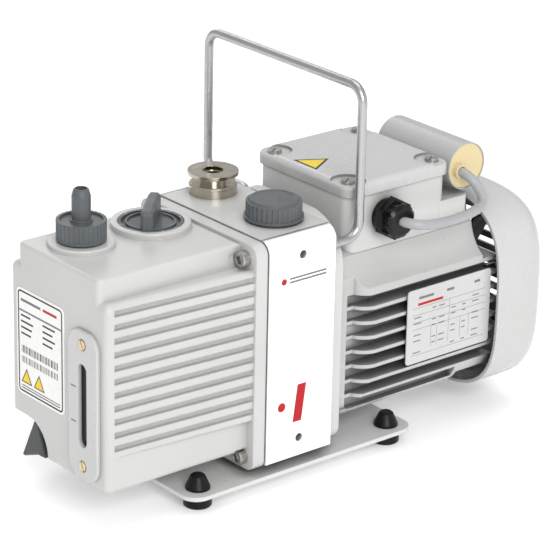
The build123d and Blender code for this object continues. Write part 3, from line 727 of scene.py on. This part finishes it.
# darker copy of the casting grey as painted shade on the motor's side; its heavy share and long reach paint deep
# shade into the fin grooves
MOTOR_CASTING_SHADED = Enamel("motor_enamel_shaded", (0.44, 0.44, 0.44), 0.32, edge=0.9 * MM, shade=0.90,
                       reach=12.0 * MM)
KNOB = Moulding("knob_plastic", (0.075, 0.085, 0.092), 0.42)
BLACK_RUBBER = Moulding("black_rubber", (0.005, 0.005, 0.005), 0.42, 0.02 * MM, 1800.0, 0.4 * MM,
                        0.08, 0.02, 0.22)


@dataclass
class Casings:
    """Oil box, pump body, base and feet.

    Attributes:
        rubber: finish of the feet.
        plate: finish of the base plate.
        panel: finish of the side panels.
        oil_box: finish of the oil box, with wide soft edges.
        bezel: finish of the sight glass bezel.
        gasket: finish of the gaskets and seals.
        steel: finish of the screws.
        brass: finish of the sight glass screws.
    """

    rubber: Finish = BLACK_RUBBER
    plate: Finish = Enamel("plate_enamel", (0.60, 0.60, 0.60), 0.33, 0.012 * MM, 0.03 * MM, 0.4 * MM)
    panel: Finish = Enamel("panel_enamel", (0.88, 0.88, 0.875), 0.20, 0.006 * MM, 0.02 * MM, 0.4 * MM, 0.05)
    oil_box: Finish = Enamel("oil_box_enamel", (0.50, 0.50, 0.495), edge=1.7 * MM, shade=0.30, reach=6.0 * MM)
    bezel: Finish = Enamel("bezel_enamel", (0.50, 0.50, 0.50), 0.30, edge=0.8 * MM, shade=0.6, reach=3.0 * MM)
    gasket: Finish = Moulding("gasket_rubber", (0.020, 0.020, 0.022), 0.6, 0.02 * MM)
    steel: Finish = BareMetal("screw_steel", (0.50, 0.49, 0.46), (0.30, 0.27, 0.22), 0.34)
    brass: Finish = BareMetal("screw_brass", (0.72, 0.60, 0.38), (0.42, 0.32, 0.18), 0.32)

    def build(self, nodes: Nodes) -> None:
        """Dress the casings."""
        dress(nodes, CASTING, "pump_body", "motor_flange", "terminal_box")
        dress(nodes, self.oil_box, "oil_box")
        dress(nodes, self.bezel, "sight_glass_bezel")
        dress(nodes, self.plate, "base_plate")
        dress(nodes, self.panel, "side_panel_near", "side_panel_far")
        dress(nodes, self.rubber, "rubber_feet")
        dress(nodes, self.gasket, "oil_box_gasket", "motor_gasket", "outlet_seal", "ballast_seal",
              "filler_cap_seal", "drain_plug_seal", "shaft_seal")
        dress(nodes, self.steel, "oil_box_screws", "base_screws", "lid_screws")
        dress(nodes, self.brass, "sight_glass_screws")


@dataclass
class SightGlass:
    """Window of the oil level, and the two level strokes beside it.

    Attributes:
        level: share of the window's height that the oil reaches.
        stroke: length and width of a level stroke.
        stroke_start: where the strokes start, from the window's middle.
        stroke_heights: heights of the strokes over the oil.
    """

    level: float = 0.45
    stroke: tuple[float, float] = (4.6 * MM, 0.9 * MM)
    stroke_start: float = -10.6 * MM
    stroke_heights: tuple[float, float] = (-9.0 * MM, 12.0 * MM)

    def build(self, nodes: Nodes) -> None:
        """Dress the window and print the strokes."""
        low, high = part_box("sight_glass_window")
        level = low.z + self.level * (high.z - low.z)
        glass = GaugeWindow("gauge_window", (0.006, 0.004, 0.003), (0.005, 0.005, 0.006), level)
        dress(nodes, glass, "sight_glass_window")
        low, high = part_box("sight_glass_bezel")
        centre = Vector((low.x, (low.y + high.y) / 2, level))
        marks = Print("level_strokes", centre, ACROSS_MINUS_Y, UP_Z, INK_GREY, "casting_grey")
        for up in self.stroke_heights:
            marks.bar((self.stroke_start, self.stroke_start + self.stroke[0]), (up, up + self.stroke[1]))
        marks.build()


@dataclass
class IdentityLabel:
    """Film on the end of the oil box: a border, a header, plain rows and two plain patches.

    Attributes:
        film: finish of the film.
        radius: corner radius of the film.
        inset: distance of the border from the edge.
        line: width of the border.
        header: share of the height above the header's rule.
        margin: distance of the print from the film's edge.
        rows: length of each row, as a share of the width.
        row_pitch: distance between two rows.
        strokes: number of upright strokes in the two banks.
        stroke_pitch: distance between two strokes.
        stroke_widths: widths of the strokes, taken in turn.
        patch_half: half the width of a patch.
        patch_tall: height of a patch.
    """

    film: Finish = Film("label_film", (0.82, 0.82, 0.81), 0.28, 0.06)
    radius: float = 4.0 * MM
    inset: float = 1.4 * MM
    line: float = 1.0 * MM
    header: float = 0.20
    margin: float = 4.2 * MM
    rows: tuple[float, ...] = (0.20, 0.26, 0.23, 0.21)
    row_pitch: float = 3.6 * MM
    strokes: int = 26
    stroke_pitch: float = 1.35 * MM
    stroke_widths: tuple[float, ...] = (0.35 * MM, 0.9 * MM, 0.45 * MM, 0.7 * MM)
    patch_half: float = 5.2 * MM
    patch_tall: float = 9.2 * MM

    def build(self, nodes: Nodes) -> None:
        """Dress the film and print on it."""
        dress(nodes, self.film, "id_label")
        low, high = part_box("id_label")
        wide, tall = high.y - low.y, high.z - low.z
        face = (Vector((low.x, (low.y + high.y) / 2, (low.z + high.z) / 2)), ACROSS_MINUS_Y, UP_Z)
        left, right = self.margin - wide / 2, wide / 2 - self.margin
        top, foot = tall / 2 - self.header * tall, 3.6 * MM - tall / 2
        head = (top + 5.0 * MM, top + 6.6 * MM)
        black = Print("label_border", *face, INK_BLACK, "label_white")
        black.ring((wide, tall), self.radius, self.inset, self.line)
        for k, share in enumerate(self.rows):
            row = top - 4.0 * MM - self.row_pitch * k
            black.bar((left, left + share * wide), (row, row + 1.1 * MM))
            black.bar((left + 0.46 * wide, left + (0.72 - 0.05 * (k % 2)) * wide), (row, row + 1.1 * MM))
        for k in range(self.strokes):
            start = left + 0.5 * MM + self.stroke_pitch * k
            width = self.stroke_widths[k % len(self.stroke_widths)]
            black.bar((start, start + width), (top - 26.0 * MM, top - 21.5 * MM))
            black.bar((start, start + 0.8 * width), (top - 32.0 * MM, top - 28.0 * MM))
        black.bar((left, right), (foot, foot + 0.6 * MM))
        black.bar((left, right), (foot + 1.6 * MM, foot + 2.1 * MM))
        black.build()
        grey = Print("label_rules", *face, INK_GREY, "label_white")
        grey.bar((left - 1.5 * MM, right + 1.5 * MM), (top - 1.1 * MM, top))
        grey.bar((left, left + 0.42 * wide), head)
        grey.build()
        red = Print("label_mark", *face, INK_RED, "label_white")
        red.bar((left + 0.47 * wide, left + 0.76 * wide), head)
        red.build()
        for name, ink, inset, lift in (("label_outlines", INK_BLACK, 0.0, 0.05 * MM),
                                       ("label_patches", INK_YELLOW, 0.7 * MM, 0.08 * MM)):
            patch = Print(name, *face, ink, "label_white", lift)
            for middle in (left + 5.0 * MM, left + 17.0 * MM):
                patch.triangle((middle, foot + 3.8 * MM), self.patch_half, self.patch_tall, inset)
            patch.build()


@dataclass
class PanelPrint:
    """Plain marks on the near side panel: a red dot, a leaning red bar and a pair of fine rules.

    Attributes:
        dot: radius of the dot beside the bar.
        small_dot: radius of the dot beside the rules.
        bar: width and height of the bar.
        lean: how far the bar's top leans.
        rule_pitch: distance between the rules.
        rule_line: width of a rule.
    """

    dot: float = 2.8 * MM
    small_dot: float = 1.9 * MM
    bar: tuple[float, float] = (6.4 * MM, 23.0 * MM)
    lean: float = 3.2 * MM
    rule_pitch: float = 2.2 * MM
    rule_line: float = 1.1 * MM

    def build(self) -> None:
        """Print the marks."""
        low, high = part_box("side_panel_near")
        face = (Vector(((low.x + high.x) / 2, low.y, low.z)), ACROSS_X, UP_Z)
        red = Print("panel_mark", *face, INK_RED, "panel_white")
        red.disc((-13.4 * MM, 33.6 * MM), self.dot)
        red.bar((-5.0 * MM, self.bar[0] - 5.0 * MM), (22.0 * MM, 22.0 * MM + self.bar[1]), self.lean)
        red.disc((-13.5 * MM, 110.6 * MM), self.small_dot)
        red.build()
        grey = Print("panel_rules", *face, INK_GREY, "panel_white")
        for k in range(2):
            rule = 108.8 * MM + k * self.rule_pitch
            grey.bar((-9.5 * MM, 17.5 * MM), (rule, rule + self.rule_line))
        grey.build()


@dataclass
class TopFittings:
    """Inlet flange, outlet nozzle, ballast knob, filler cap, drain plug and the carrying handle.

    Attributes:
        wire: finish of the inlet strainer.
        drain: finish of the drain plug.
        rod: finish of the handle.
        tick: finish of the ticks on the ballast knob.
        ticks: places for ticks round the ballast knob.
        dish: depth of the ring with the ticks under the grip's top.
        reach: distances of a tick's ends from the knob's edge.
        tick_half: half the width of a tick.
    """

    wire: Finish = BareMetal("strainer_wire", (0.55, 0.52, 0.46), (0.30, 0.27, 0.22), 0.35)
    drain: Finish = Moulding("drain_plastic", (0.035, 0.037, 0.040), 0.36, scuff=0.15, dust=0.05, gloss=0.4)
    rod: Finish = BareMetal("handle_rod", (0.47, 0.475, 0.48), (0.44, 0.44, 0.44), 0.32, Way.EVEN,
                            0.001 * MM, 900.0)
    tick: Finish = Film("tick_grey", (0.45, 0.46, 0.47), 0.4, 0.1)
    ticks: int = 12
    dish: float = 11.4 * MM
    reach: tuple[float, float] = (1.35 * MM, 0.25 * MM)
    tick_half: float = 0.3 * MM

    def build(self, nodes: Nodes) -> None:
        """Dress the fittings and mark the ballast knob."""
        low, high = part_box("inlet_flange")
        steel = TurnedMetal("inlet_steel", (0.50, 0.46, 0.39), (0.40, 0.35, 0.28), tuple((low + high) / 2),
                            roughness=0.18)
        dress(nodes, steel, "inlet_flange")
        dress(nodes, self.wire, "inlet_strainer")
        dress(nodes, KNOB, "outlet_nozzle", "ballast_knob", "filler_cap")
        dress(nodes, self.drain, "drain_plug")
        dress(nodes, self.rod, "handle")
        low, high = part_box("ballast_knob")
        middle, radius = (low + high) / 2, (high.x - low.x) / 2
        rim = Vector((middle.x, middle.y, high.z - self.dish))
        marks = Print("ballast_ticks", rim, ACROSS_X, UP_Y, self.tick, "knob_grey", body=Part.BALLAST)
        near, far = (radius - gap for gap in self.reach)
        corners = [Vector((a, b * self.tick_half)) for a, b in ((near, -1), (far, -1), (far, 1), (near, 1))]
        for k in range(self.ticks):
            if k % 3:
                turn = Matrix.Rotation(math.radians(45 + 360 * k / self.ticks), 2)
                marks.shape([tuple(turn @ corner) for corner in corners])
        marks.build()


@dataclass
class Motor:
    """Motor, fan cover, terminal box and capacitor.

    Attributes:
        shield: finish of the rear shield, near black as painted shade inside the fan cover.
        sheet: finish of the fan cover and the lid.
        block: finish of the terminal block.
        gland: finish of the cable gland.
        zinc: finish of the small plated pieces.
        plate: finish of the nameplate's painted face.
        fan: finish of the fan.
        can: finish of the capacitor's can.
        boot: finish of the boot on its end.
        line: width of a line of the nameplate's form.
        thin: height of the nameplate's ink over its face.
        columns: places of the form's upright lines, as shares of its width.
        entries: start and length of the form's entries, as shares of its width.
        titles: start and length of the bars over the form, as shares of its width.
    """

    # near black: painted shade for the dark inside of the fan cover
    shield: Finish = Enamel("rear_shield_painted_shade", (0.02, 0.02, 0.02))
    # long reach and heavy share: painted shade darkens the inside of the fan cover and its gaps
    sheet: Finish = Enamel("sheet_enamel", (0.48, 0.48, 0.48), 0.28, 0.006 * MM, 0.008 * MM, 0.6 * MM,
                           0.12, 0.9, 30.0 * MM)
    block: Finish = Moulding("terminal_plastic", (0.03, 0.03, 0.03), 0.5)
    gland: Finish = Moulding("gland_plastic", (0.002, 0.002, 0.002), 0.26, scuff=0.03, dust=0.0, gloss=0.30)
    zinc: Finish = BareMetal("plated_zinc", (0.56, 0.56, 0.55), (0.40, 0.38, 0.34), 0.36)
    plate: Finish = Enamel("nameplate_face", (0.50, 0.50, 0.50), 0.30, 0.004 * MM, 0.01 * MM, 0.3 * MM, 0.1, 0.3)
    fan: Finish = Moulding("fan_plastic", (0.02, 0.02, 0.022), 0.5)
    can: Finish = Moulding("can_plastic", (0.40, 0.40, 0.40), 0.30, 0.006 * MM, 1200.0, 0.3 * MM, 0.1, 0.08)
    boot: Finish = Moulding("boot_plastic", (0.64, 0.52, 0.29), 0.42, 0.015 * MM, 900.0, 0.5 * MM, 0.2, 0.10)
    line: float = 0.22 * MM
    thin: float = 0.03 * MM
    columns: tuple[float, ...] = (0.26, 0.34, 0.50, 0.66, 0.78)
    entries: tuple[tuple[float, float], ...] = ((0.02, 0.10), (0.27, 0.05), (0.36, 0.08), (0.53, 0.06),
                                                (0.68, 0.05), (0.82, 0.09))
    titles: tuple[tuple[float, float], ...] = ((0.08, 0.20), (0.46, 0.10), (0.84, 0.08))

    def build(self, nodes: Nodes) -> None:
        """Dress the motor, and print its nameplate and the lid's label."""
        dress(nodes, MOTOR_CASTING_SHADED, "motor_frame")
        dress(nodes, self.shield, "rear_shield")
        dress(nodes, self.sheet, "fan_cover", "terminal_lid", "fan_cover_spacers")
        dress(nodes, self.fan, "cooling_fan")
        dress(nodes, self.block, "terminal_block")
        dress(nodes, self.gland, "cable_gland")
        dress(nodes, self.can, "capacitor_can")
        dress(nodes, self.boot, "capacitor_boot")
        dress(nodes, self.zinc, "capacitor_bracket", "fan_cover_screws")
        self.nameplate(nodes)
        self.lid_label()

    def nameplate(self, nodes: Nodes) -> None:
        """Dress the nameplate and rule an empty form on it."""
        dress(nodes, self.plate, "nameplate")
        low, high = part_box("nameplate")
        face = (Vector(((low.x + high.x) / 2, low.y, (low.z + high.z) / 2)), ACROSS_X, UP_Z)
        wide, tall = high.x - low.x, high.z - low.z
        left, right = 4.0 * MM - wide / 2, wide / 2 - 4.0 * MM
        foot, top = 5.0 * MM - tall / 2, tall / 2 - 12.0 * MM
        half, span = foot + 0.55 * (top - foot), right - left
        form = Print("nameplate_form", *face, INK_GREY, "nameplate_metal", self.thin)
        for level in (foot, half, half + 4.4 * MM, half + 9.0 * MM, top):
            form.bar((left, right), (level, level + self.line))
        for share in self.columns:
            column = left + span * share
            form.bar((column - self.line, column), (foot + 3.0 * MM, half))
        form.bar((left + 0.5 * span, left + 0.5 * span + self.line), (half, top))
        for k in range(8):
            level = foot + (1.4 + 3.7 * k) * MM
            for share, width in self.entries:
                if (k + int(100 * share)) % 3:
                    start = left + span * share
                    form.bar((start, start + span * width), (level, level + 0.7 * MM))
        for share, width in self.titles:
            start = left + span * share
            form.bar((start, start + span * width), (top + 5.4 * MM, top + 7.0 * MM))
        form.build()
        mark = Print("nameplate_mark", *face, INK_RED, "nameplate_metal", self.thin)
        mark.bar((left + 4.0 * MM, left + 24.0 * MM), (top + 1.4 * MM, top + 3.0 * MM))
        mark.build()

    def lid_label(self) -> None:
        """Print a plain yellow patch with a dark outline on the lid."""
        low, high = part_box("terminal_lid")
        edge = Vector((low.x + 4.5 * MM, (low.y + high.y) / 2 + 2.0 * MM, high.z))
        for name, ink, inset, lift in (("lid_outline", INK_BLACK, 0.0, 0.04 * MM),
                                       ("lid_patch", INK_YELLOW, 1.4 * MM, 0.07 * MM)):
            patch = Print(name, edge, ACROSS_MINUS_Y, ACROSS_X, ink, "label_white", lift)
            patch.triangle((0.0, 0.0), 10.6 * MM, 18.5 * MM, inset)
            patch.build()


@dataclass
class Insides:
    """Vane module, coupling, bearings and windings, which only show when the covers are off."""

    def build(self, nodes: Nodes) -> None:
        """Dress the inner pieces."""
        low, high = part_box("pump_rotor")
        axis = tuple((low + high) / 2)
        iron = TurnedMetal("machined_iron", (0.26, 0.26, 0.26), (0.14, 0.13, 0.12), axis, False, 0.38)
        dress(nodes, iron, "hv_stator", "lv_stator", "centre_plate", "pump_end_cover")
        ground = TurnedMetal("ground_steel", (0.55, 0.55, 0.56), (0.36, 0.34, 0.32), axis, False, 0.20)
        dress(nodes, ground, "pump_rotor", "motor_rotor", "bearing_inners", "bearing_outers", "bearing_cages",
              "coupling_hub_pump", "coupling_hub_motor")
        dress(nodes, Moulding("vane_composite", (0.10, 0.06, 0.04), 0.5), "hv_vanes", "lv_vanes")
        spring = BareMetal("valve_spring_steel", (0.45, 0.46, 0.48), (0.25, 0.2, 0.16))
        dress(nodes, spring, "discharge_valve")
        dress(nodes, Moulding("spider_rubber", (0.30, 0.03, 0.02), 0.6), "coupling_spider")
        sheets = Laminations("core_laminations", (0.36, 0.36, 0.37), (0.10, 0.10, 0.10), 1400.0, 0.9)
        dress(nodes, sheets, "stator_core")
        copper = Laminations("copper_wire", (0.60, 0.24, 0.10), (0.16, 0.05, 0.02), 900.0, 0.8)
        dress(nodes, copper, "stator_windings")


@dataclass
class CapacitorLead:
    """Lead from the gland to the capacitor's boot, bowed out over the motor.

    Attributes:
        route: points that steer it.
        radius: radius of its jacket.
        length: its length; not used.
        finish: finish of the jacket.
    """

    route: Sequence[Point] = ((0.0432, -0.06387, 0.1450), (0.0432, -0.08237, 0.1450),
                              (0.0712, -0.08187, 0.1415), (0.0982, -0.07587, 0.1405),
                              (0.1132, -0.06787, 0.1415), (0.1037, -0.06587, 0.1585),
                              (0.1037, -0.05037, 0.1585))
    radius: float = 3.0 * MM
    length: float = 0.115
    finish: Finish = Moulding("lead_jacket", (0.33, 0.34, 0.345), 0.36, 0.01 * MM, 1500.0, 0.2 * MM,
                              0.1, 0.10)

    def build(self) -> None:
        data = bpy.data.curves.new("capacitor_lead_jacket", "CURVE")
        data.dimensions, data.bevel_depth, data.bevel_resolution = "3D", self.radius, 6
        data.resolution_u, data.use_fill_caps = 16, True
        spline = data.splines.new("NURBS")
        spline.points.add(len(self.route) - 1)
        for point, place in zip(spline.points, self.route):
            point.co = (*place, 1.0)
        spline.order_u = 3
        spline.use_endpoint_u = True
        data.materials.append(self.finish.material())
        lead = bpy.data.objects.new("capacitor_lead_jacket", data)
        bpy.context.scene.collection.objects.link(lead)
        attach(lead, Part.PUMP.value)
        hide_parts("capacitor_lead")
        LOG.info("capacitor lead: %d points", len(self.route))


# ------------------------------------------------------------------ stage
@dataclass
class Camera:
    """Camera, placed by its angles.

    Attributes:
        place: position.
        azimuth: turn round the object, in degrees; 0 looks along +Y.
        elevation: height over the horizon, in degrees.
        roll: roll about the line of sight, in degrees.
        lens: focal length on a sensor 36 mm wide, in millimetres.
    """

    place: Point = (-0.9685, -1.1675, 0.7007)
    azimuth: float = -39.94
    elevation: float = 21.62
    roll: float = 1.22
    lens: float = 180.75

    def build(self) -> None:
        """Make the camera and use it."""
        a, e, r = (math.radians(v) for v in (self.azimuth, self.elevation, self.roll))
        back = Vector((math.sin(a) * math.cos(e), -math.cos(a) * math.cos(e), math.sin(e)))
        right = Vector((math.cos(a), math.sin(a), 0.0))
        up = back.cross(right)
        right, up = right * math.cos(r) + up * math.sin(r), up * math.cos(r) - right * math.sin(r)
        data = bpy.data.cameras.new("camera")
        data.lens, data.sensor_width, data.clip_end = self.lens, 36.0, 20.0
        camera = bpy.data.objects.new("camera", data)
        bpy.context.scene.collection.objects.link(camera)
        frame = Matrix((right, up, back)).transposed().to_4x4()
        camera.matrix_world = Matrix.Translation(self.place) @ frame
        bpy.context.scene.camera = camera


@dataclass
class Studio:
    """Pale floor and soft lights round the object.

    Attributes:
        half: half the floor's width.
        world: strength of the surrounding light.
        glow: strength of the floor's own light.
        aim: point that the lights face.
        lamps: name, place, size and power of each soft light.
    """

    half: float = 6.0
    world: float = 0.60
    glow: float = 0.16
    aim: Point = (0.0, 0.0, 0.1)
    lamps: Sequence[tuple[str, Point, float, float]] = (
        ("key_light", (-1.2, -2.6, 1.7), 1.6, 70.0),
        ("top_light", (0.3, 0.2, 2.6), 2.2, 20.0),
        ("fill_light", (2.2, -1.9, 1.0), 1.8, 5.0),
        ("back_light", (0.8, 2.4, 1.6), 1.6, 12.0),
    )

    def build(self) -> None:
        """Make the floor, the lights and the surroundings."""
        mesh = bmesh.new()
        steps = 8
        grid = [[mesh.verts.new((self.half * (2 * i / steps - 1), self.half * (2 * j / steps - 1), 0.0))
                 for j in range(steps + 1)] for i in range(steps + 1)]
        for i in range(steps):
            for j in range(steps):
                mesh.faces.new((grid[i][j], grid[i + 1][j], grid[i + 1][j + 1], grid[i][j + 1]))
        data = bpy.data.meshes.new("floor")
        mesh.to_mesh(data)
        mesh.free()
        floor = bpy.data.objects.new("floor", data)
        bpy.context.scene.collection.objects.link(floor)
        shade = Shade("floor_paper")
        tone = shade.blend(shade.noise(3.0, 3.0), (0.95, 0.95, 0.95), (0.97, 0.97, 0.97))
        data.materials.append(shade.finish(tone, 0.75, None, Emission_Color=(1.0, 1.0, 1.0, 1.0),
                                           Emission_Strength=self.glow))
        for name, place, size, power in self.lamps:
            lamp = bpy.data.lights.new(name, "AREA")
            lamp.size, lamp.energy = size, power
            light = bpy.data.objects.new(name, lamp)
            bpy.context.scene.collection.objects.link(light)
            turn = (Vector(self.aim) - Vector(place)).to_track_quat("-Z", "Y")
            light.matrix_world = Matrix.Translation(place) @ turn.to_matrix().to_4x4()
        world = bpy.data.worlds.new("studio")
        world.use_nodes = True
        sky = world.node_tree.nodes["Background"]
        sky.inputs["Color"].default_value = (1.0, 1.0, 1.0, 1.0)
        sky.inputs["Strength"].default_value = self.world
        bpy.context.scene.world = world
        bpy.context.scene.view_settings.view_transform = "Standard"
        LOG.info("studio: %d lights", len(self.lamps))


def main() -> None:
    """Load the model, dress it, and build its prints, its lead and the studio."""
    logging.basicConfig(level=logging.INFO, format="%(name)s %(message)s")
    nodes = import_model()["nodes"]
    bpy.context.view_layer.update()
    Camera().build()
    CapacitorLead().build()
    Casings().build(nodes)
    SightGlass().build(nodes)
    IdentityLabel().build(nodes)
    PanelPrint().build()
    TopFittings().build(nodes)
    Motor().build(nodes)
    Insides().build(nodes)
    Studio().build()


if __name__ == "__main__":
    main()
